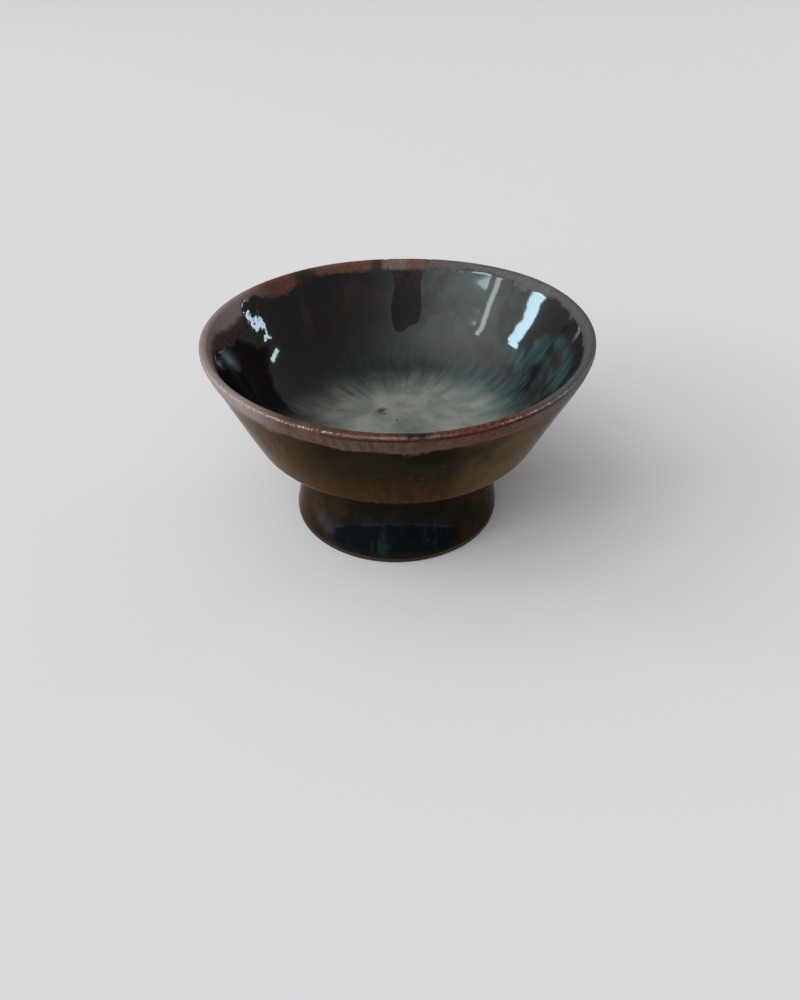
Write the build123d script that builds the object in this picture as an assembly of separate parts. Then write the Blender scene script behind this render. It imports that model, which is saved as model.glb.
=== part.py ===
from build123d import *
import os

# Glazed stoneware sake cup: a conical bowl on an attached foot ring.
# Millimetres, +Z up, the foot stands on z = 0 and the cup's axis is the Z axis.
# The clay bowl and the clay foot are two pieces luted together with slip. Each coat of
# glaze is a thin solid of its own that fits the clay face to face.

# Bowl
RIM_DIAMETER = 69.2
HEIGHT = 37.15
LIP_THICKNESS = 2.05
LIP_FLARE_HEIGHT = 2.35
LIP_FLARE = 1.3
LIP_FLARE_ROUND = 3.0
LIP_ROUND = 0.75
BELLY_DIAMETER = 51.9
BELLY_RISE = 3.7
BELLY_ROUND = 8.4
WELL_DIAMETER = 43.6
WELL_ROUND = 16.0
FLOOR_THICKNESS = 3.2

# Foot
FOOT_DIAMETER = 40.2
FOOT_HEIGHT = 14.4
WAIST_TUCK = 0.15
NECK_DIAMETER = 35.8
NECK_ROUND = 1.2
RECESS_DIAMETER = 30.4
RECESS_TOP_DIAMETER = 26.4
FOOT_EDGE_ROUND = 0.3
SLIP_THICKNESS = 0.5
SLIP_SQUEEZE = 0.8

# Glaze
GLAZE_THICKNESS = 0.45
GLAZE_LINE = 0.7
BEAD_RADIUS = 0.6
POOL_DEPTH = 0.8
WASH_OUTSIDE = 2.9
WASH_INSIDE = 1.6

# Runs of the rim wash down the wall: angle about the axis in degrees, width and drop
RUNS_INSIDE = (
    (40, 5.0, 0.8),
    (86, 7.2, 10.8),
    (102, 7.0, 1.4),
    (129, 8.0, 2.0),
    (150, 6.4, 3.0),
    (168, 7.0, 4.6),
    (186, 6.0, 3.4),
    (224, 6.0, 1.8),
    (318, 5.0, 1.2),
)
RUNS_OUTSIDE = (
    (40, 5.0, 1.0),
    (158, 5.5, 1.2),
    (247, 4.4, 0.9),
    (296, 5.6, 0.8),
)

rim_radius = RIM_DIAMETER / 2
belly_radius = BELLY_DIAMETER / 2
well_radius = WELL_DIAMETER / 2
foot_radius = FOOT_DIAMETER / 2
neck_radius = NECK_DIAMETER / 2
recess_radius = RECESS_DIAMETER / 2
recess_top_radius = RECESS_TOP_DIAMETER / 2

coat_base = FOOT_HEIGHT - GLAZE_THICKNESS
belly_height = FOOT_HEIGHT + BELLY_RISE
floor_height = FOOT_HEIGHT + FLOOR_THICKNESS
foot_top = FOOT_HEIGHT - SLIP_THICKNESS
neck_clay_radius = neck_radius - GLAZE_THICKNESS
reach = 2 * RIM_DIAMETER


def face_of(*points, radius=0):
    """Closed section through the points, each corner rounded by its own radius."""
    return make_face(FilletPolyline(*points, radius=radius, close=True).edges())


def box_section(r_from, r_to, z_from, z_to):
    """Rectangular piece of the section plane."""
    middle = ((r_from + r_to) / 2, (z_from + z_to) / 2)
    return Pos(*middle) * Rectangle(r_to - r_from, z_to - z_from)


def turned(section):
    """Body made by turning the section once round the cup's axis."""
    half = section & box_section(0, reach, -reach, reach)
    return revolve(Plane.XZ * half, Axis.Z)


def foot_outline(inset, top, recess_base, recess_top):
    """Section of the foot, its outer side drawn in by inset and tucked in at the waist."""
    base = (foot_radius - inset, 0)
    neck = (neck_radius - inset, top)
    waist = ((base[0] + neck[0]) / 2 - WAIST_TUCK, top / 2)
    side = ThreePointArc(base, waist, neck)
    rest = Polyline(neck, (recess_top, top), (recess_base, 0), base)
    return make_face(side.edges() + rest.edges())


def run_tool(angle, width, drop, band):
    """Radial bar with a round tip, as wide and as low as one run of the wash."""
    top = HEIGHT - band
    tip_centre = top - drop + width / 2
    outline = Pos(0, tip_centre) * Circle(width / 2)
    outline += box_section(-width / 2, width / 2, tip_centre, HEIGHT)
    bar = extrude(Plane.YZ * outline, rim_radius)
    return Rot(0, 0, angle) * bar


def split_runs(coat, runs, band):
    """The runs cut out of a coat, and the rest of the coat."""
    tools = [run_tool(angle, width, drop, band) for angle, width, drop in runs]
    wash = coat & Part() + tools
    return wash, coat - tools


# Glazed section of the bowl, drawn past the axis so that both faces cross it square
bowl_envelope = face_of(
    (-rim_radius, coat_base),
    (neck_radius, coat_base),
    (belly_radius, belly_height),
    (rim_radius - LIP_FLARE, HEIGHT - LIP_FLARE_HEIGHT),
    (rim_radius, HEIGHT),
    (rim_radius - LIP_THICKNESS, HEIGHT),
    (well_radius, floor_height),
    (-rim_radius, floor_height),
    radius=(0, 0, BELLY_ROUND, LIP_FLARE_ROUND, LIP_ROUND, LIP_ROUND, WELL_ROUND, 0),
)
bowl_section = offset(bowl_envelope, -GLAZE_THICKNESS)

# Foot ring in clay, and the section its coat fills
foot_section = foot_outline(GLAZE_THICKNESS, foot_top, recess_radius, recess_top_radius)
base_corners = foot_section.vertices().group_by(Axis.Y)[0]
foot_section = fillet(base_corners, FOOT_EDGE_ROUND)
foot_envelope = foot_outline(0, coat_base, recess_top_radius, recess_top_radius)

# Slip between the two, pressed out a little into the recess
slip_section = face_of(
    (recess_top_radius - SLIP_SQUEEZE, FOOT_HEIGHT),
    (neck_clay_radius, FOOT_HEIGHT),
    (neck_clay_radius, foot_top),
    (recess_top_radius + SLIP_SQUEEZE, foot_top),
    (recess_top_radius + SLIP_SQUEEZE / 2, foot_top - SLIP_SQUEEZE),
)
slip_section -= foot_section

# The coat is what lies between the glazed surface and the clay
clay_section = bowl_section + foot_section + slip_section
glazed_section = bowl_envelope + foot_envelope
neck_corner = glazed_section.vertices().sort_by_distance((neck_radius, coat_base))[0]
glazed_section = fillet(neck_corner, NECK_ROUND)
coat_section = glazed_section - clay_section

# Line through the middle of the clay parts the inside coat from the outside coat
wall_middle_top = (rim_radius - LIP_THICKNESS / 2, HEIGHT)
wall_middle_foot = ((belly_radius + well_radius) / 2, belly_height)
floor_middle = FOOT_HEIGHT + FLOOR_THICKNESS / 2
inside_zone = face_of(
    (-reach, floor_middle),
    (neck_radius, floor_middle),
    wall_middle_foot,
    wall_middle_top,
    (wall_middle_top[0], reach),
    (-reach, reach),
)
outside_zone = box_section(neck_clay_radius, reach, 0, reach) - inside_zone
inside_coat = coat_section & inside_zone
outside_coat = coat_section & outside_zone

# Rolled edge where the foot's coat stops above the table
bead_height = GLAZE_LINE + BEAD_RADIUS
foot_taper = (foot_radius - neck_radius + 2 * WAIST_TUCK) / FOOT_HEIGHT
bead_centre = (foot_radius - GLAZE_THICKNESS - bead_height * foot_taper, bead_height)
bead_section = Pos(*bead_centre) * Circle(BEAD_RADIUS) - foot_section

wash_inside_level = HEIGHT - WASH_INSIDE
wash_outside_level = HEIGHT - WASH_OUTSIDE
foot_coat = outside_coat & box_section(0, reach, bead_height, coat_base)

bowl = turned(bowl_section)
foot_ring = turned(foot_section)
luting_slip = turned(slip_section)
foot_glaze = turned(foot_coat + bead_section)

inside_wall_coat = turned(inside_coat & box_section(0, reach, 0, wash_inside_level))
outside_wall_coat = turned(outside_coat & box_section(0, reach, coat_base, wash_outside_level))
lip_coat = turned(inside_coat & box_section(0, reach, wash_inside_level, reach))
lip_coat += turned(outside_coat & box_section(0, reach, wash_outside_level, reach))

inside_runs, inner_glaze = split_runs(inside_wall_coat, RUNS_INSIDE, WASH_INSIDE)
outside_runs, outer_glaze = split_runs(outside_wall_coat, RUNS_OUTSIDE, WASH_OUTSIDE)
rim_wash = lip_coat + inside_runs + outside_runs

# Second glaze that lies level in the well
pool_box = box_section(0, well_radius, floor_height - GLAZE_THICKNESS, floor_height + POOL_DEPTH)
pool_glaze = turned(pool_box - bowl_envelope)

nodes = {
    "bowl": bowl,
    "foot_ring": foot_ring,
    "luting_slip": luting_slip,
    "inner_glaze": inner_glaze,
    "pool_glaze": pool_glaze,
    "outer_glaze": outer_glaze,
    "foot_glaze": foot_glaze,
    "rim_wash": rim_wash,
}

os.makedirs("parts", exist_ok=True)
for name, node in nodes.items():
    export_step(node, f"parts/{name}.step")
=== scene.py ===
import math

import bpy
import numpy as np
from mathutils import Matrix, Vector


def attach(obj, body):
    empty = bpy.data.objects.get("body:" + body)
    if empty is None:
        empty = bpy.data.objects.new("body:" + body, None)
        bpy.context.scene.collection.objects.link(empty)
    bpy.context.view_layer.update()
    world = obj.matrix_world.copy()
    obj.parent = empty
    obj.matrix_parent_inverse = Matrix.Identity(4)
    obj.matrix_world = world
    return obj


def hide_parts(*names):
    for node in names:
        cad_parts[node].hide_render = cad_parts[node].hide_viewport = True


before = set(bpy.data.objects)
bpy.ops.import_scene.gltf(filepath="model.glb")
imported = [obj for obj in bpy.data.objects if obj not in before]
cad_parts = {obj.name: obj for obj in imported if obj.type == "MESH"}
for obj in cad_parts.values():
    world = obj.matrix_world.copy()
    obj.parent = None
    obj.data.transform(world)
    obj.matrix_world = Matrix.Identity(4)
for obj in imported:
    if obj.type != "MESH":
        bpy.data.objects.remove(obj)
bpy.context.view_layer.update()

# One millimetre in metres
MM = 0.001

# Points round the cup and along its lines, and the spacing of rows in millimetres
SEGMENTS = 480
PATH_POINTS = 2400
CLAY_ROWS = 120
FOOT_POINTS = 220
ROW_STEP = 0.45

# Sizes in millimetres
COAT = 0.3
CLAY_UNDER = 0.42
CLAY_NECK = 0.4
POOL_LEVEL = 18.4
POOL_RADIUS = 17.6
POOL_FEATHER = 3.2
NECK_HEIGHT = 13.95
BOWL_UNDERSIDE = 14.4
UNDERSIDE_RADII = (0.0, 6.0, 12.0, 17.2)
TRIM_PITCH = 1.15
TRIM_DEPTH = 0.03

# Glazed profile from the foot's bare edge, up the outside, over the lip and down to the well:
# radius, height and the rounding of each corner
PROFILE = (
    (19.30, 0.78, 0.0),
    (20.06, 0.70, 0.45),
    (19.75, 2.30, 1.5),
    (18.85, 7.20, 60.0),
    (17.90, 13.95, 1.2),
    (25.97, 18.30, 6.0),
    (33.55, 34.60, 8.0),
    (34.40, 37.15, 0.75),
    (32.75, 37.15, 0.75),
    (21.80, 17.60, 18.2),
    (0.00, 17.60, 0.0),
)

# Bare clay of the foot: up its outside, in over the top, down the recess and out along the base
FOOT_CLAY = (
    (17.30, 0.00, 0.0),
    (20.00, 0.00, 0.3),
    (18.45, 6.95, 40.0),
    (17.40, 13.88, 0.3),
    (13.25, 13.88, 0.3),
    (15.20, 0.00, 0.3),
    (17.30, 0.00, 0.0),
)

# Runs of the rim wash: angle about the axis in degrees, width, drop and squareness of the tip,
# all in millimetres but the first and last, with widths taken at the wall's radius
LONG_RUN = 86
RUNS_INSIDE = (
    (40, 5.0, 0.4, 3),
    (LONG_RUN, 7.4, 12.2, 8),
    (88.8, 3.6, 1.4, 4),
    (109, 10.0, 0.6, 4),
    (136, 8.0, 1.5, 4),
    (150, 5.0, -0.2, 3),
    (165, 7.5, 3.8, 3),
    (177, 7.0, 2.8, 3),
    (190, 7.0, 1.2, 3),
    (224, 6.0, 0.3, 3),
    (272, 16.0, -1.9, 3),
    (318, 5.0, 0.6, 3),
)
RUNS_OUTSIDE = (
    (40, 5.0, 0.6, 3),
    (158, 5.5, 0.8, 3),
    (254, 5.0, 0.5, 3),
    (274, 9.0, 0.5, 3),
    (302, 12.0, 0.3, 3),
)
WASH_INSIDE = 1.9
WASH_OUTSIDE = 3.4
WASH_RAISED = 0.03
WALL_RADIUS = 30


def rounded(outline):
    """An outline as closely spaced points, each inner corner replaced by its arc."""
    corners = [np.array(p[:2]) for p in outline]
    points = [corners[0]]
    for before, here, after, (_, _, radius) in zip(corners, corners[1:], corners[2:], outline[1:]):
        back = (before - here) / np.linalg.norm(before - here)
        ahead = (after - here) / np.linalg.norm(after - here)
        half = math.acos(np.clip(back @ ahead, -1, 1)) / 2
        centre = here + (back + ahead) / np.linalg.norm(back + ahead) * radius / math.sin(half)
        start = here + back * radius / math.tan(half) - centre
        end = here + ahead * radius / math.tan(half) - centre
        first = math.atan2(start[1], start[0])
        turn = (math.atan2(end[1], end[0]) - first + math.pi) % (2 * math.pi) - math.pi
        for step in range(25):
            angle = first + turn * step / 24
            points.append(centre + radius * np.array([math.cos(angle), math.sin(angle)]))
    points.append(corners[-1])
    return np.array(points)


def lengths_along(points):
    return np.concatenate([[0], np.cumsum(np.linalg.norm(np.diff(points, axis=0), axis=1))])


def evenly(points, count):
    """The same line through evenly spaced points."""
    lengths = lengths_along(points)
    even = np.linspace(0, lengths[-1], count)
    return np.stack([np.interp(even, lengths, points[:, k]) for k in (0, 1)], axis=1)


def glazed_path():
    """The glazed profile, the well inside filled by the pool, which feathers out up the wall."""
    path = evenly(rounded(PROFILE), PATH_POINTS)
    inside = np.arange(len(path)) > np.argmax(path[:, 1])
    well = PROFILE[-1][1]
    share = np.clip(1 - (path[:, 1] - well) / POOL_FEATHER, 0, 1)
    path[inside, 1] += (POOL_LEVEL - well) * share[inside] ** 2
    return path


# Places on the glaze are told by their distance along the profile from the lip's crest,
# negative outside and positive inside, and by their angle about the axis
path = glazed_path()
path_s = lengths_along(path)
path_s -= path_s[np.argmax(path[:, 1])]
tangent = np.gradient(path, axis=0)
tangent /= np.linalg.norm(tangent, axis=1)[:, None]
S_FOOT, S_WELL = path_s[0], path_s[-1]


def along(s, values):
    return np.interp(s, path_s, values)


def where_height(z):
    """Distance along the profile at which the outside passes a height."""
    side = path_s < 0
    return path_s[side][np.argmin(np.abs(path[side, 1] - z))]


def where_radius(r):
    """Distance along the profile at which the inside passes a radius."""
    side = path_s > 4
    return path_s[side][np.argmin(np.abs(path[side, 0] - r))]


def smooth(value, low, high):
    x = np.clip((value - low) / (high - low), 0, 1)
    return x * x * (3 - 2 * x)


def turn_from(theta, angle):
    """Turn in radians from an angle in degrees, the shorter way round."""
    return (theta - math.radians(angle) + math.pi) % (2 * math.pi) - math.pi


def wash_edge(theta, base, runs, ripple):
    """How far the rim wash reaches from the lip's crest at each angle."""
    waves = np.sin(11 * theta + 0.7) + 0.7 * np.sin(17 * theta - 1.2) + 0.6 * np.sin(29 * theta + 2.0)
    edge = base + ripple * waves / 2
    for angle, width, drop, square in runs:
        offset = turn_from(theta, angle) * WALL_RADIUS
        edge = edge + drop * np.exp(-np.abs(offset / (0.55 * width)) ** square)
    return edge


def edge_inside(theta):
    return wash_edge(theta, WASH_INSIDE, RUNS_INSIDE, 0.35)


def edge_outside(theta):
    return wash_edge(theta, WASH_OUTSIDE, RUNS_OUTSIDE, 0.22)


def wash_depth(s, theta):
    """How far a place lies within the rim wash, negative beyond its edge."""
    return np.minimum(edge_inside(theta) - s, edge_outside(theta) + s)


def lean(z):
    """Sideways set of the cup at each height: the foot stands a little to the left."""
    foot = -0.42 * np.clip(1 - z / 22, 0, 1) ** 2
    return foot - 0.15 * np.exp(-((z - 21) / 5.5) ** 2) + 0.14 * np.exp(-((z - 32.8) / 3.2) ** 2)


def gathered(s, theta):
    """Angles drawn together above the long run at the back, so that it hangs from a narrow neck."""
    turn = turn_from(theta, LONG_RUN)
    near = 1 - smooth(np.abs(turn), 0.12, 0.40)
    return theta - turn * near * 0.36 * smooth(s, 0.5, 3.0) * (1 - smooth(s, 6.0, 11.0))


def surface(s, theta):
    """Points of the hand-thrown glazed surface, in millimetres."""
    r = along(s, path[:, 0])
    z = along(s, path[:, 1])
    out_r = along(s, tangent[:, 1])
    out_z = -along(s, tangent[:, 0])
    fade = np.clip(r / 12, 0, 1) ** 2 * np.clip((z - 2) / 6, 0, 1)
    wall = np.clip((np.abs(s) - 2.5) / 4, 0, 1)
    push = WASH_RAISED * (smooth(wash_depth(s, theta), -0.3, 0.5) - 1)
    theta = gathered(s, theta)
    push += 0.05 * np.sin(3 * theta + 0.8 + 0.10 * s) + 0.03 * np.sin(5 * theta - 1.9 + 0.16 * s)
    push += 0.012 * np.sin(9 * theta + 2.3 - 0.21 * s)
    push += wall * 0.002 * np.sin(2 * math.pi * s / 2.7 + theta)
    push += wall * 0.005 * np.sin(2 * math.pi * s / 6.1 - theta + 1.1)
    push -= 0.06 * np.exp(-((s + 1.15) / 0.30) ** 2)
    rise = np.clip((z - 17) / 20, 0, 1) ** 1.5
    oval = 0.31 * np.cos(2 * theta) - 0.18 * np.sin(2 * theta) + 0.33 * np.sin(3 * theta)
    oval += 0.23 * np.sin(theta) - 0.12 * np.cos(theta)
    tip = 0.37 * np.cos(theta) + 0.06 * np.sin(theta) + 0.10 * np.cos(2 * theta) + 0.17 * np.sin(2 * theta)
    r = r + out_r * push * fade + rise * oval
    z = z + out_z * push * fade + rise * tip
    return np.stack([r * np.cos(theta) + lean(z), r * np.sin(theta), z], axis=-1)


def normals(s, theta):
    """Unit normals of the surface, pointing out of the glaze."""
    along_s = surface(s + 0.05, theta) - surface(s - 0.05, theta)
    around = surface(s, theta + 0.004) - surface(s, theta - 0.004)
    n = np.cross(around, along_s)
    return n / np.maximum(np.linalg.norm(n, axis=-1, keepdims=True), 1e-12)


ring = np.linspace(0, 2 * math.pi, SEGMENTS, endpoint=False)


def closed_skin(name, rows, row_normals, fields, cuts=(), poles=()):
    """Closed mesh through rings of points; the band after a cut row is flat, a pole row is one point."""
    number = np.zeros(rows.shape[:2], dtype=int)
    used = []
    for row in range(len(rows)):
        size = 1 if row in poles else SEGMENTS
        number[row] = len(used) + np.arange(SEGMENTS) % size
        used.extend((row, k) for k in range(size))
    used = np.array(used)
    faces = []
    loop_normals = []
    for row in range(len(rows)):
        after = (row + 1) % len(rows)
        if row in poles and after in poles:
            continue
        for k in range(SEGMENTS):
            m = (k + 1) % SEGMENTS
            corners = [(row, k), (row, m), (after, m), (after, k)]
            if row in poles:
                corners.pop(0)
            if after in poles:
                corners.pop()
            faces.append([number[corner] for corner in corners])
            loop_normals += [(0, 0, 0) if row in cuts else row_normals[corner] for corner in corners]
    mesh = bpy.data.meshes.new(name)
    mesh.from_pydata(rows[used[:, 0], used[:, 1]] * MM, [], faces)
    mesh.polygons.foreach_set("use_smooth", [True] * len(faces))
    mesh.normals_split_custom_set([tuple(n) for n in loop_normals])
    for field, values in fields.items():
        store = mesh.attributes.new(field, "FLOAT", "POINT")
        store.data.foreach_set("value", values[used[:, 0], used[:, 1]].astype(np.float32))
    piece = bpy.data.objects.new(name, mesh)
    bpy.context.scene.collection.objects.link(piece)
    return piece


def coat(name, start, end, to_axis=False):
    """A thin closed coat of glaze between two lines that run round the cup."""
    count = max(4, int(np.max(end - start) / ROW_STEP))
    fine = np.linspace(0, 1, count + 1)
    coarse = np.linspace(1, 0, count // 3 + 3)
    share = np.concatenate([fine, coarse])[:, None]
    theta = np.broadcast_to(ring, (len(share), SEGMENTS))
    s = np.broadcast_to(start + (end - start) * share, theta.shape)
    back = np.arange(len(share))[:, None, None] >= len(fine)
    n = normals(s, theta)
    rows = surface(s, theta) - np.where(back, n * COAT, 0)
    cuts = {len(fine) - 1, len(share) - 1}
    poles = {len(fine) - 1, len(fine)} if to_axis else ()
    if to_axis:
        rows[len(fine)] = rows[len(fine) - 1] - (0, 0, COAT)
    fields = {"wash": wash_depth(s, theta), "along": s}
    return closed_skin(name, rows, np.where(back, -n, n), fields, cuts, poles)


def bowl_clay(name):
    """The clay bowl under its coats, with a flat underside inside the foot."""
    share = np.linspace(0, 1, CLAY_ROWS)[:, None]
    theta = np.broadcast_to(ring, (len(share), SEGMENTS))
    start = neck_line + CLAY_NECK
    s = np.broadcast_to(start + (S_WELL - start) * share, theta.shape)
    n = normals(s, theta)
    wall = surface(s, theta) - n * CLAY_UNDER
    wall[-1] = wall[-1].mean(axis=0)
    base_r = np.array(UNDERSIDE_RADII)[:, None]
    base_theta = np.broadcast_to(ring, (len(base_r), SEGMENTS))
    base_z = np.full(base_theta.shape, BOWL_UNDERSIDE)
    base = np.stack([base_r * np.cos(base_theta), base_r * np.sin(base_theta), base_z], axis=-1)
    rows = np.concatenate([base, wall])
    row_normals = np.concatenate([np.broadcast_to((0.0, 0.0, -1.0), base.shape), n])
    return closed_skin(name, rows, row_normals, {}, {len(base) - 1}, {0, len(rows) - 1})


def foot_clay(name):
    """The bare clay foot, with the fine spiral left by trimming."""
    line = evenly(rounded(FOOT_CLAY), FOOT_POINTS)[:-1]
    step = np.roll(line, -1, axis=0) - np.roll(line, 1, axis=0)
    step /= np.linalg.norm(step, axis=1)[:, None]
    length = np.arange(len(line)) * np.linalg.norm(line[1] - line[0])
    theta = np.broadcast_to(ring, (len(line), SEGMENTS))
    spiral = TRIM_DEPTH * np.sin(2 * math.pi * length[:, None] / TRIM_PITCH + theta)
    spiral += 0.02 * np.sin(7 * theta + 0.5 * length[:, None])
    spiral *= smooth(line[:, 1], 0.0, 0.4)[:, None]
    r = line[:, :1] + step[:, 1:] * spiral
    z = line[:, 1:] - step[:, :1] * spiral
    rows = np.stack([r * np.cos(theta) + lean(z), r * np.sin(theta), z], axis=-1)
    around = np.roll(rows, -1, axis=1) - np.roll(rows, 1, axis=1)
    n = np.cross(around, np.roll(rows, -1, axis=0) - np.roll(rows, 1, axis=0))
    n /= np.linalg.norm(n, axis=-1, keepdims=True)
    return closed_skin(name, rows, n, {})


inside_line = edge_inside(ring)
outside_line = -edge_outside(ring)
neck_line = where_height(NECK_HEIGHT)
pool_line = where_radius(POOL_RADIUS)
pieces = {
    "bowl": bowl_clay("bowl_clay"),
    "foot_ring": foot_clay("foot_ring_clay"),
    "foot_glaze": coat("foot_glaze_skin", S_FOOT, neck_line),
    "outer_glaze": coat("outer_glaze_skin", neck_line, outside_line),
    "rim_wash": coat("rim_wash_skin", outside_line, inside_line),
    "inner_glaze": coat("inner_glaze_skin", inside_line, pool_line),
    "pool_glaze": coat("pool_glaze_skin", pool_line, S_WELL, to_axis=True),
}
for node, piece in pieces.items():
    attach(piece, "root")
    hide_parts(node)


class Nodes:
    """Short calls for building a node tree."""

    def __init__(self, tree):
        self.nodes = tree.nodes
        self.links = tree.links

    def add(self, kind, **settings):
        node = self.nodes.new(kind)
        for key, value in settings.items():
            setattr(node, key, value)
        return node

    def put(self, socket, value):
        if isinstance(value, bpy.types.NodeSocket):
            self.links.new(value, socket)
        else:
            socket.default_value = value

    def math(self, operation, a, b=0.0):
        node = self.add("ShaderNodeMath", operation=operation)
        self.put(node.inputs[0], a)
        self.put(node.inputs[1], b)
        return node.outputs[0]

    def plus(self, a, b):
        return self.math("ADD", a, b)

    def times(self, a, b):
        return self.math("MULTIPLY", a, b)

    def less(self, a, b):
        return self.math("SUBTRACT", a, b)

    def invert(self, value):
        return self.math("SUBTRACT", 1.0, value)

    def swing(self, value, size):
        """A noise value about its middle, scaled."""
        return self.times(self.less(value, 0.5), size)

    def vector(self, operation, a, b):
        node = self.add("ShaderNodeVectorMath", operation=operation)
        self.put(node.inputs[0], a)
        self.put(node.inputs[1], b)
        return node.outputs["Value" if operation in ("DISTANCE", "DOT_PRODUCT") else "Vector"]

    def split(self, vector):
        node = self.add("ShaderNodeSeparateXYZ")
        self.put(node.inputs[0], vector)
        return node.outputs[0], node.outputs[1], node.outputs[2]

    def join(self, x, y, z):
        node = self.add("ShaderNodeCombineXYZ")
        for socket, value in zip(node.inputs, (x, y, z)):
            self.put(socket, value)
        return node.outputs[0]

    def step(self, value, low, high):
        """0 below low, 1 above high, smooth between."""
        node = self.add("ShaderNodeMapRange", interpolation_type="SMOOTHSTEP")
        self.put(node.inputs["Value"], value)
        self.put(node.inputs["From Min"], low)
        self.put(node.inputs["From Max"], high)
        return node.outputs["Result"]

    def between(self, value, low, high, soft):
        """1 between low and high, fading out over soft on both sides."""
        rise = self.step(value, low - soft, low + soft)
        return self.times(rise, self.invert(self.step(value, high - soft, high + soft)))

    def mix(self, factor, a, b):
        node = self.add("ShaderNodeMix", data_type="RGBA")
        self.put(node.inputs[0], factor)
        self.put(node.inputs[6], (*a, 1.0) if isinstance(a, tuple) else a)
        self.put(node.inputs[7], (*b, 1.0) if isinstance(b, tuple) else b)
        return node.outputs[2]


class Surface(Nodes):
    """A material in the cup's own coordinates, in millimetres."""

    def __init__(self, name):
        self.material = bpy.data.materials.new(name)
        self.material.use_nodes = True
        super().__init__(self.material.node_tree)
        self.shader = self.nodes["Principled BSDF"]
        place = self.add("ShaderNodeTexCoord").outputs["Object"]
        self.mm = self.vector("MULTIPLY", place, (1 / MM, 1 / MM, 1 / MM))
        self.x, self.y, self.z = self.split(self.mm)
        self.r = self.length(self.x, self.y)
        safe = self.math("MAXIMUM", self.r, 0.01)
        self.cos = self.math("DIVIDE", self.x, safe)
        self.sin = self.math("DIVIDE", self.y, safe)

    def length(self, x, y):
        return self.math("SQRT", self.plus(self.times(x, x), self.times(y, y)))

    def attribute(self, name):
        return self.add("ShaderNodeAttribute", attribute_name=name).outputs["Fac"]

    def flow(self, around, down, shift=0.0):
        """Coordinates for streaks that run down the wall: fine around, long downwards."""
        length = self.plus(self.times(self.plus(self.r, self.z), down), shift)
        return self.join(self.times(self.cos, around), self.times(self.sin, around), length)

    def toward(self, angle):
        """Cosine of the turn from an angle about the axis, in degrees."""
        a = math.radians(angle)
        return self.plus(self.times(self.cos, math.cos(a)), self.times(self.sin, math.sin(a)))

    def sector(self, angle, half, soft):
        """1 within half a width of an angle about the axis, in degrees, fading out over soft."""
        outer = min(half + soft, 180)
        low, high = math.cos(math.radians(outer)), math.cos(math.radians(half - soft))
        return self.step(self.toward(angle), low, high)

    def spot(self, place, low, high):
        """1 near a point of the cup, 0 beyond a distance from it."""
        return self.invert(self.step(self.vector("DISTANCE", self.mm, place), low, high))

    def noise(self, vector, scale=1.0, detail=3.0, rough=0.5, twist=0.0):
        node = self.add("ShaderNodeTexNoise")
        self.put(node.inputs["Vector"], vector)
        self.put(node.inputs["Scale"], scale)
        self.put(node.inputs["Detail"], detail)
        self.put(node.inputs["Roughness"], rough)
        self.put(node.inputs["Distortion"], twist)
        return node.outputs["Fac"]

    def bump(self, height, distance, strength=1.0):
        node = self.add("ShaderNodeBump")
        self.put(node.inputs["Strength"], strength)
        self.put(node.inputs["Distance"], distance * MM)
        self.put(node.inputs["Height"], height)
        return node.outputs["Normal"]

    def finish(self, colour, roughness, normal, **constants):
        self.put(self.shader.inputs["Base Color"], colour)
        self.put(self.shader.inputs["Roughness"], roughness)
        self.put(self.shader.inputs["Normal"], normal)
        for key, value in constants.items():
            self.shader.inputs[key.replace("_", " ")].default_value = value
        return self.material


def any_of(t, *parts):
    total = parts[0]
    for part in parts[1:]:
        total = t.math("MAXIMUM", total, part)
    return total


def pale_pool(t, streak):
    """Celadon grey of the pool, with a greener middle, faint streaks and one dark smudge."""
    cloud = t.noise(t.mm, 0.22, 3.0, 0.55)
    colour = t.mix(t.step(cloud, 0.36, 0.66), (0.185, 0.205, 0.175), (0.275, 0.29, 0.25))
    faint = t.times(t.step(t.r, 6.0, 12.0), t.step(streak, 0.52, 0.68))
    colour = t.mix(t.times(faint, 0.22), colour, (0.10, 0.125, 0.11))
    middle = t.times(t.spot((2.2, -2.1, POOL_LEVEL), 1.5, 5.0), t.step(cloud, 0.3, 0.55))
    colour = t.mix(t.times(middle, 0.8), colour, (0.09, 0.125, 0.105))
    smudge = t.spot((-3.0, 3.2, POOL_LEVEL), 0.4, 1.9)
    smudge = t.times(smudge, t.step(t.noise(t.mm, 0.9, 3.0, 0.6), 0.28, 0.55))
    return t.mix(smudge, colour, (0.058, 0.062, 0.044))


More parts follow.
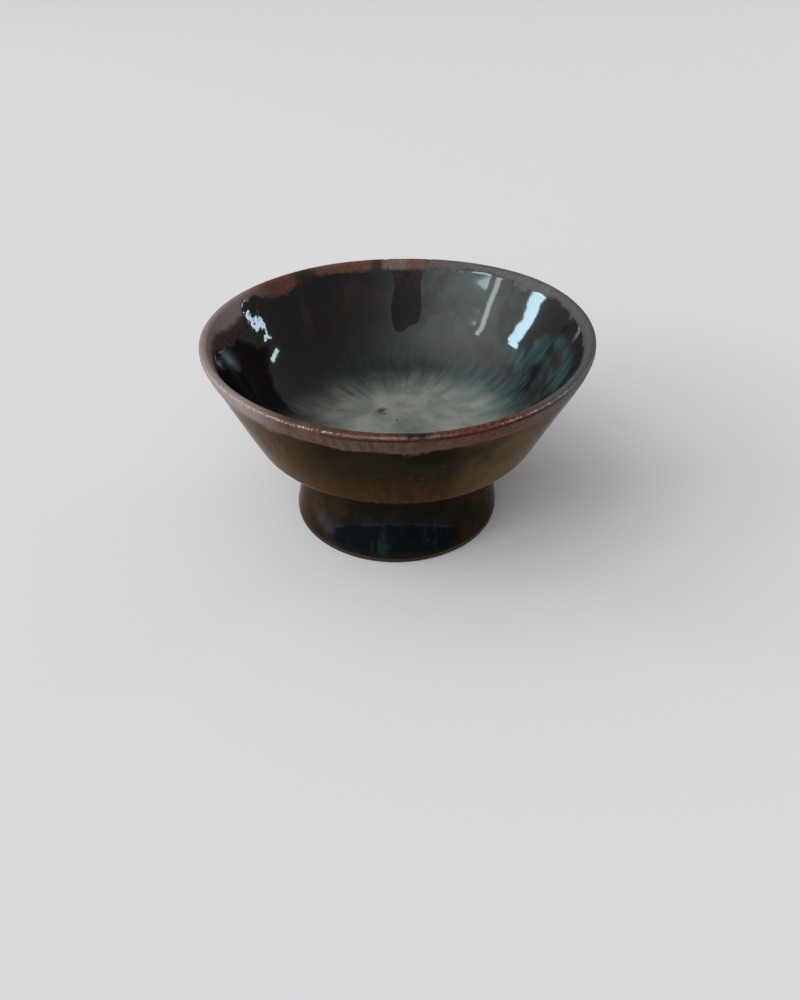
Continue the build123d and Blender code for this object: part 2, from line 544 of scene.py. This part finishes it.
def inner_colour(t):
    """Black-brown glaze, blue-green lower down, feathering into the pale pool."""
    streak = t.noise(t.flow(10, 0.09), 1.0, 3.0, 0.55)
    fine = t.noise(t.flow(24, 0.14, 7.0), 1.0, 2.0, 0.5)
    slow = t.noise(t.flow(2.4, 0.07, 3.0), 1.0, 2.0, 0.5)
    black = t.mix(t.step(slow, 0.4, 0.65), (0.0055, 0.0045, 0.0042), (0.011, 0.0085, 0.007))
    rusty = t.times(t.sector(128, 40, 18), t.step(streak, 0.48, 0.68))
    colour = t.mix(t.times(rusty, t.step(t.z, 22, 30)), black, (0.022, 0.010, 0.007))
    mist = t.times(t.sector(60, 26, 12), t.step(t.noise(t.mm, 0.16, 3.0, 0.55, 0.6), 0.36, 0.66))
    colour = t.mix(t.times(mist, t.step(t.z, 20, 27)), colour, (0.020, 0.034, 0.031))
    teal = t.mix(t.step(fine, 0.38, 0.64), (0.004, 0.012, 0.013), (0.010, 0.027, 0.025))
    bright = t.mix(t.step(fine, 0.36, 0.62), (0.018, 0.040, 0.043), (0.036, 0.075, 0.076))
    teal = t.mix(t.sector(0, 45, 30), teal, bright)
    spread = t.plus(t.r, t.plus(t.swing(streak, 8.0), t.swing(slow, 8.0)))
    low = t.invert(t.step(spread, 19.0, 26.5))
    left = t.invert(t.times(t.invert(t.step(t.cos, -0.85, -0.15)), 0.7))
    patches = t.times(t.sector(2, 28, 14), t.between(t.z, 21, 34, 2.0))
    patches = t.times(patches, t.step(t.noise(t.flow(3.2, 0.10, 1.0), 1.0, 2.0, 0.5), 0.40, 0.64))
    colour = t.mix(t.math("MAXIMUM", t.times(low, left), t.times(patches, 0.85)), colour, teal)
    reach = t.length(t.times(t.less(t.x, 2.4), 0.80), t.plus(t.y, 0.4))
    reach = t.plus(reach, t.plus(t.swing(streak, 5.0), t.plus(t.swing(fine, 1.8), t.swing(slow, 4.0))))
    reach = t.plus(reach, t.times(t.step(t.x, 16.0, 21.0), 3.5))
    return t.mix(t.invert(t.step(reach, 8.0, 20.0)), colour, pale_pool(t, streak))


def wash_around(t, s, streak, grain, speck):
    """Wash round the lip: pinkish in front, mauve left, red-brown and tan at the back, grey right."""
    pink = t.mix(t.step(streak, 0.36, 0.64), (0.055, 0.027, 0.017), (0.092, 0.050, 0.034))
    ruddy = t.mix(t.step(grain, 0.34, 0.66), (0.058, 0.018, 0.008), (0.138, 0.044, 0.027))
    red = t.mix(t.step(grain, 0.30, 0.70), (0.085, 0.035, 0.025), (0.145, 0.060, 0.042))
    mauve = t.mix(t.step(speck, 0.3, 0.7), (0.190, 0.142, 0.128), (0.310, 0.236, 0.212))
    grey = t.mix(t.step(speck, 0.3, 0.7), (0.056, 0.053, 0.053), (0.102, 0.097, 0.097))
    tan = t.mix(t.step(grain, 0.3, 0.7), (0.092, 0.068, 0.050), (0.165, 0.125, 0.100))
    dark = (0.020, 0.018, 0.016)
    colour = t.mix(t.step(t.sin, 0.05, 0.5), pink, red)
    colour = t.mix(t.times(t.sector(272, 14, 8), t.step(s, -1.0, -0.4)), colour, ruddy)
    colour = t.mix(t.sector(301, 17, 9), colour, ruddy)
    colour = t.mix(t.sector(190, 42, 10), colour, mauve)
    colour = t.mix(t.sector(14, 64, 14), colour, grey)
    colour = t.mix(any_of(t, t.sector(90.5, 4.5, 1.5), t.times(t.sector(30, 1.6, 1.4), 0.7)), colour, tan)
    gap = any_of(t, t.sector(125, 3.5, 2), t.sector(97.5, 1.6, 1))
    return t.mix(t.times(gap, 0.85), colour, dark)


def wash_runs(t, colour, s, streak, grain):
    """Wash below the lip inside: umber on the left, and the long brown run at the back."""
    under = t.step(t.plus(s, t.plus(t.swing(streak, 2.5), t.times(t.sector(158, 12, 8), -1.6))), 1.3, 2.6)
    umber = t.mix(t.step(streak, 0.36, 0.66), (0.026, 0.0125, 0.0098), (0.082, 0.034, 0.026))
    colour = t.mix(t.times(under, t.sector(180, 36, 10)), colour, umber)
    long_run = t.times(t.sector(LONG_RUN, 14, 3), t.step(s, 1.9, 3.0))
    rusty = t.times(t.invert(t.step(s, 4.5, 7.0)), t.step(grain, 0.4, 0.65))
    brown = t.mix(rusty, (0.0075, 0.0055, 0.005), (0.030, 0.014, 0.010))
    return t.mix(long_run, colour, brown)


def wash_marks(t, colour, s, streak, grain, speck):
    """Marks along the lip in front: a dark line of painted shade in the groove, an orange lower edge, and
    painted highlights as a pale line and light glints along the crest.
    """
    # Painted shade: a dark line in the groove under the crest, in front
    line = t.between(t.plus(s, t.swing(grain, 0.5)), -1.25, -0.95, 0.16)
    line = t.times(line, t.sector(283, 30, 8))
    colour = t.mix(t.times(line, t.step(streak, 0.28, 0.5)), colour, (0.016, 0.005, 0.003))
    edge = t.invert(t.step(t.attribute("wash"), 0.35, 0.95))
    ember = t.times(any_of(t, t.sector(249, 5, 4), t.sector(299, 16, 8)), edge)
    ember = t.times(ember, t.invert(t.step(s, -2.6, -1.8)))
    colour = t.mix(t.times(ember, t.step(grain, 0.36, 0.62)), colour, (0.11, 0.034, 0.014))
    # Painted highlight: a pale line along the crest in front
    pale = t.times(t.sector(272, 11, 6), t.between(s, -0.75, -0.45, 0.12))
    colour = t.mix(t.times(pale, t.step(speck, 0.35, 0.6)), colour, (0.21, 0.14, 0.105))
    # Painted glints: light specks along the outer edge of the crest, left and right of the front
    crest = any_of(t, t.sector(230, 26, 6), t.sector(318, 22, 6))
    crest = t.times(crest, t.between(s, -0.80, -0.52, 0.07))
    crest_glint = t.times(crest, t.step(t.noise(t.mm, 4.0, 3.0, 0.7), 0.50, 0.62))
    return t.mix(crest_glint, colour, (0.46, 0.42, 0.40))


def wash_colour(t):
    """Iron wash over the lip and down its runs."""
    s = t.attribute("along")
    streak = t.noise(t.flow(34, 0.25), 1.0, 4.0, 0.6)
    grain = t.noise(t.mm, 1.6, 3.0, 0.6)
    speck = t.noise(t.mm, 3.4, 3.0, 0.6)
    colour = wash_around(t, s, streak, grain, speck)
    colour = wash_runs(t, colour, s, streak, grain)
    return wash_marks(t, colour, s, streak, grain, speck)


def wash_cover(t, ragged, drift):
    """1 where the rim wash covers, ragged along the streaks and melting away beside the front."""
    fine = t.swing(t.noise(t.flow(30, 0.4), 1.0, 4.0, 0.6), ragged)
    slow = t.swing(t.noise(t.flow(7, 0.3, 4.0), 1.0, 3.0, 0.6), drift)
    melt = t.plus(t.times(t.sector(312, 22, 12), 0.9), t.times(t.sector(222, 18, 8), 0.7))
    depth = t.plus(t.attribute("wash"), t.plus(fine, slow))
    return t.step(depth, t.less(-0.4, melt), t.plus(0.5, melt))


def uneven(t, slow, fine, lumps=0.0):
    """Unevenness of a thick glaze: long swells, fine orange peel and lumps, in millimetres."""
    swell = t.times(t.noise(t.mm, 0.35, 2.0, 0.5), slow)
    peel = t.times(t.noise(t.mm, 1.3, 2.0, 0.5), fine)
    return t.bump(t.plus(t.plus(swell, peel), lumps), 1.0)


def outer_colour(t):
    """Amber-brown glaze, dark under the lip in front, with fine pits; the lighter amber and the olive at
    the sides and the tan on the right are painted reflections.
    """
    cloud = t.noise(t.mm, 0.12, 3.0, 0.55)
    streak = t.noise(t.flow(22, 0.15), 1.0, 4.0, 0.6)
    height = t.plus(t.z, t.swing(cloud, 9.0))
    # Painted reflection: the sides are lighter, amber low down and olive higher up, standing in for warm
    # surroundings mirrored at a glancing angle
    reflecting_sides = t.invert(t.sector(270, 27, 24))
    amber = t.mix(t.step(streak, 0.35, 0.7), (0.036, 0.0150, 0.0044), (0.057, 0.0250, 0.0070))
    amber = t.mix(reflecting_sides, amber, (0.088, 0.050, 0.0190))
    olive = t.mix(t.step(streak, 0.35, 0.7), (0.066, 0.0370, 0.0130), (0.100, 0.057, 0.0205))
    dark = t.mix(t.step(cloud, 0.4, 0.62), (0.0095, 0.0072, 0.0032), (0.0165, 0.0115, 0.0050))
    colour = t.mix(t.step(height, 20.0, 30.0), amber, t.mix(reflecting_sides, dark, olive))
    # Painted reflection: a soft tan patch on the right side
    tan_reflection = t.times(t.sector(312, 18, 10), t.step(cloud, 0.15, 0.6))
    colour = t.mix(t.times(tan_reflection, 0.62), colour, (0.132, 0.092, 0.047))
    mottle = t.times(t.sector(284, 18, 10), t.between(t.z, 22.5, 29.0, 1.5))
    mottle = t.times(mottle, t.step(t.noise(t.mm, 0.9, 4.0, 0.7, 0.5), 0.54, 0.68))
    colour = t.mix(t.times(mottle, 0.7), colour, (0.034, 0.031, 0.026))
    pit = t.step(t.noise(t.mm, 1.7, 2.0, 0.6), 0.68, 0.74)
    return t.mix(t.times(pit, 0.8), colour, (0.066, 0.051, 0.036))


def wash_material():
    """Satin wash, thin enough in places to show the glaze beneath."""
    t = Surface("rim_wash_iron")
    inside = t.step(t.attribute("along"), -0.6, 0.2)
    under = t.mix(inside, outer_colour(t), inner_colour(t))
    cover = t.mix(inside, wash_cover(t, 2.2, 3.4), wash_cover(t, 1.6, 1.6))
    colour = t.mix(cover, under, wash_colour(t))
    grain = t.noise(t.mm, 2.6, 4.0, 0.65)
    return t.finish(colour, 0.45, t.bump(grain, 0.05, 0.6), Specular_IOR_Level=0.15)


def inner_material():
    """Glossy inner coat, lumpy at the left of the back and duller round the long run."""
    t = Surface("inner_glaze_streaked")
    colour = t.mix(wash_cover(t, 2.4, 2.4), inner_colour(t), wash_colour(t))
    s = t.attribute("along")
    lumps = t.times(t.noise(t.mm, 0.42, 2.0, 0.5), t.times(t.sector(150, 9, 5), 0.08))
    lumps = t.times(lumps, t.invert(t.step(s, 9.5, 13.0)))
    dull = t.times(t.sector(LONG_RUN, 10.5, 3.5), t.between(s, 4.0, 14.5, 1.8))
    dull = any_of(t, dull, t.times(t.sector(181, 7, 4), t.times(t.between(s, 4.0, 10.0, 1.5), 0.3)))
    rough = t.plus(t.times(dull, 0.36), 0.06)
    return t.finish(colour, rough, uneven(t, 0.004, 0.002, lumps), Specular_IOR_Level=0.36)


def pool_material():
    """Glossy pool, coloured as the coat that it runs into."""
    t = Surface("pool_glaze_celadon")
    return t.finish(inner_colour(t), 0.06, uneven(t, 0.006, 0.002), Specular_IOR_Level=0.36)


def outer_material():
    """Outer coat, with the edge of the wash melting into it."""
    t = Surface("outer_glaze_amber")
    colour = t.mix(wash_cover(t, 2.2, 3.4), outer_colour(t), wash_colour(t))
    return t.finish(colour, 0.14, uneven(t, 0.03, 0.004), Specular_IOR_Level=0.007)


def foot_material():
    """Near-black coat of the foot with fine veins; browner sides and a blue-black place in front are
    painted reflections, and a light line along that place and a grey-blue patch on the left are painted
    highlights.
    """
    t = Surface("foot_glaze_black")
    cloud = t.noise(t.mm, 0.22, 4.0, 0.6)
    vein = t.noise(t.flow(11, 0.16, 5.0), 1.0, 4.0, 0.6, 0.5)
    height = t.plus(t.z, t.swing(cloud, 1.2))
    umber = t.mix(t.step(cloud, 0.4, 0.65), (0.0088, 0.0072, 0.0053), (0.0145, 0.0112, 0.0074))
    # Painted reflection: the sides turn browner, standing in for warm surroundings mirrored at a glancing
    # angle
    brown = t.mix(t.step(cloud, 0.4, 0.65), (0.021, 0.0116, 0.0047), (0.038, 0.0212, 0.0092))
    umber = t.mix(t.invert(t.sector(270, 38, 24)), umber, brown)
    # Painted reflection: a blue-black place low in front, its top raised towards the middle so that it
    # looks level from the camera, with a painted highlight as a light line along that top
    below = t.less(t.plus(t.times(t.toward(268), 16.0), -7.9), height)
    front = t.sector(266, 36, 5)
    thick = t.times(t.times(t.step(below, -0.3, 0.3), t.step(height, 1.5, 2.6)), front)
    colour = t.mix(thick, umber, (0.0036, 0.0050, 0.0066))
    edge = t.times(t.between(below, -0.35, 0.05, 0.3), front)
    colour = t.mix(t.times(edge, t.step(cloud, 0.3, 0.55)), colour, (0.017, 0.020, 0.024))
    veins = t.times(t.step(vein, 0.46, 0.70), t.between(height, 2.0, 10.0, 1.6))
    veins = t.times(veins, t.step(t.noise(t.mm, 0.45, 4.0, 0.65, 1.2), 0.40, 0.62))
    colour = t.mix(t.times(veins, t.sector(272, 24, 12)), colour, (0.0085, 0.0200, 0.0240))
    spot = t.times(t.spot((-3.6, -19.3, 3.0), 0.2, 2.4), t.step(vein, 0.36, 0.60))
    colour = t.mix(spot, colour, (0.008, 0.022, 0.021))
    # Painted highlight: a soft grey-blue glint on the left of the foot
    painted_glint = any_of(t, t.spot((-14.3, -13.1, 5.1), 0.2, 2.6), t.spot((-13.1, -14.4, 4.3), 0.2, 2.4))
    colour = t.mix(t.times(painted_glint, 0.8), colour, (0.030, 0.033, 0.038))
    return t.finish(colour, 0.08, uneven(t, 0.03, 0.004), Specular_IOR_Level=0.018)


def clay_material():
    """Bare red-brown clay, with painted shade along the foot's outer edge where it stands on the floor."""
    t = Surface("fired_clay")
    grain = t.noise(t.mm, 3.2, 5.0, 0.65)
    cloud = t.noise(t.mm, 0.25, 2.0, 0.5)
    colour = t.mix(t.step(grain, 0.3, 0.7), (0.060, 0.024, 0.013), (0.115, 0.052, 0.030))
    colour = t.mix(t.times(t.step(cloud, 0.4, 0.75), 0.5), colour, (0.040, 0.017, 0.010))
    # Painted shade: the clay darkens towards the foot's outer edge, less on the right
    contact_shade = t.times(t.step(t.r, 18.2, 19.2), t.invert(t.times(t.sector(322, 30, 14), 0.6)))
    colour = t.mix(contact_shade, colour, (0.016, 0.009, 0.006))
    return t.finish(colour, 0.85, t.bump(grain, 0.12, 0.7))


clay = clay_material()
looks = {
    "bowl": clay,
    "foot_ring": clay,
    "foot_glaze": foot_material(),
    "outer_glaze": outer_material(),
    "rim_wash": wash_material(),
    "inner_glaze": inner_material(),
    "pool_glaze": pool_material(),
}
for node, piece in pieces.items():
    piece.data.materials.append(looks[node])
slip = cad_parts["luting_slip"].data.materials
slip.clear()
slip.append(clay)

# Plain pale floor
mesh = bpy.data.meshes.new("floor")
mesh.from_pydata([(-2, -2, 0), (2, -2, 0), (2, 2, 0), (-2, 2, 0)], [], [(0, 1, 2, 3)])
floor = bpy.data.objects.new("floor", mesh)
bpy.context.scene.collection.objects.link(floor)
floor_paint = bpy.data.materials.new("floor_paint")
floor_paint.use_nodes = True
paint = floor_paint.node_tree.nodes["Principled BSDF"].inputs
paint["Base Color"].default_value = (0.735, 0.705, 0.708, 1.0)
paint["Roughness"].default_value = 0.9
paint["Specular IOR Level"].default_value = 0.1
floor.data.materials.append(floor_paint)

# Soft light from all round, stronger from high on the near left
LIGHT_SIDE = (-0.682, -0.394, 0.616)
GLOW = 2.45
GLOW_FOCUS = 3.5
AMBIENT = 0.31
world = bpy.data.worlds.new("studio")
bpy.context.scene.world = world
world.use_nodes = True
sky = Nodes(world.node_tree)
way = sky.add("ShaderNodeTexCoord").outputs["Generated"]
facing = sky.math("MAXIMUM", sky.vector("DOT_PRODUCT", way, LIGHT_SIDE), 0.0)
glow = sky.times(sky.math("POWER", facing, GLOW_FOCUS), GLOW)
background = sky.nodes["Background"].inputs
background["Color"].default_value = (1.0, 1.0, 1.02, 1.0)
sky.put(background["Strength"], sky.plus(glow, AMBIENT))

# Small bright lights that the glaze mirrors as strips, in metres and degrees
LIGHT_CENTRE = Vector((0, 0, 0.03))
LIGHT_DISTANCE = 1.2


def panel(name, shape, azimuth, elevation, width, height, radiance, colour):
    """A soft light facing the cup, at angles in degrees from the far side and the horizon."""
    az, el = math.radians(azimuth), math.radians(elevation)
    away = Vector((math.sin(az) * math.cos(el), math.cos(az) * math.cos(el), math.sin(el)))
    light = bpy.data.lights.new(name, "AREA")
    light.shape = shape
    light.size = width
    light.size_y = height
    light.color = colour
    light.energy = radiance * math.pi * width * height
    lamp = bpy.data.objects.new(name, light)
    lamp.location = LIGHT_CENTRE + away * LIGHT_DISTANCE
    lamp.rotation_euler = away.to_track_quat("Z", "Y").to_euler()
    bpy.context.scene.collection.objects.link(lamp)


panel("window_right", "RECTANGLE", 67.2, 18.3, 0.24, 0.070, 18, (0.65, 0.88, 1.0))
panel("window_left", "ELLIPSE", -76.3, 17.6, 0.27, 0.105, 19, (0.59, 0.86, 1.0))
panel("window_slit", "RECTANGLE", -107.8, 27.0, 0.068, 0.29, 10, (0.86, 1.0, 0.92))
panel("window_small", "RECTANGLE", -121.8, 24.2, 0.29, 0.150, 11, (0.7, 0.92, 1.0))

# Camera at the photograph's place
CAMERA_PLACE = Vector((-0.058, -122.497, 96.351)) * MM
PITCH, ROLL, YAW = (math.radians(v) for v in (38.478, -0.454, 0.148))
ahead = Vector((math.sin(YAW) * math.cos(PITCH), math.cos(YAW) * math.cos(PITCH), -math.sin(PITCH)))
level = Vector((math.cos(YAW), -math.sin(YAW), 0))
above = level.cross(ahead)
right = math.cos(ROLL) * level + math.sin(ROLL) * above
upward = -math.sin(ROLL) * level + math.cos(ROLL) * above
lens = bpy.data.cameras.new("camera")
lens.lens = 27.36
lens.sensor_width = 36
lens.clip_start = 0.005
camera = bpy.data.objects.new("camera", lens)
turn = Matrix((right, upward, -ahead)).transposed().to_4x4()
camera.matrix_world = Matrix.Translation(CAMERA_PLACE) @ turn
bpy.context.scene.collection.objects.link(camera)
bpy.context.scene.camera = camera
bpy.context.scene.view_settings.view_transform = "Standard"
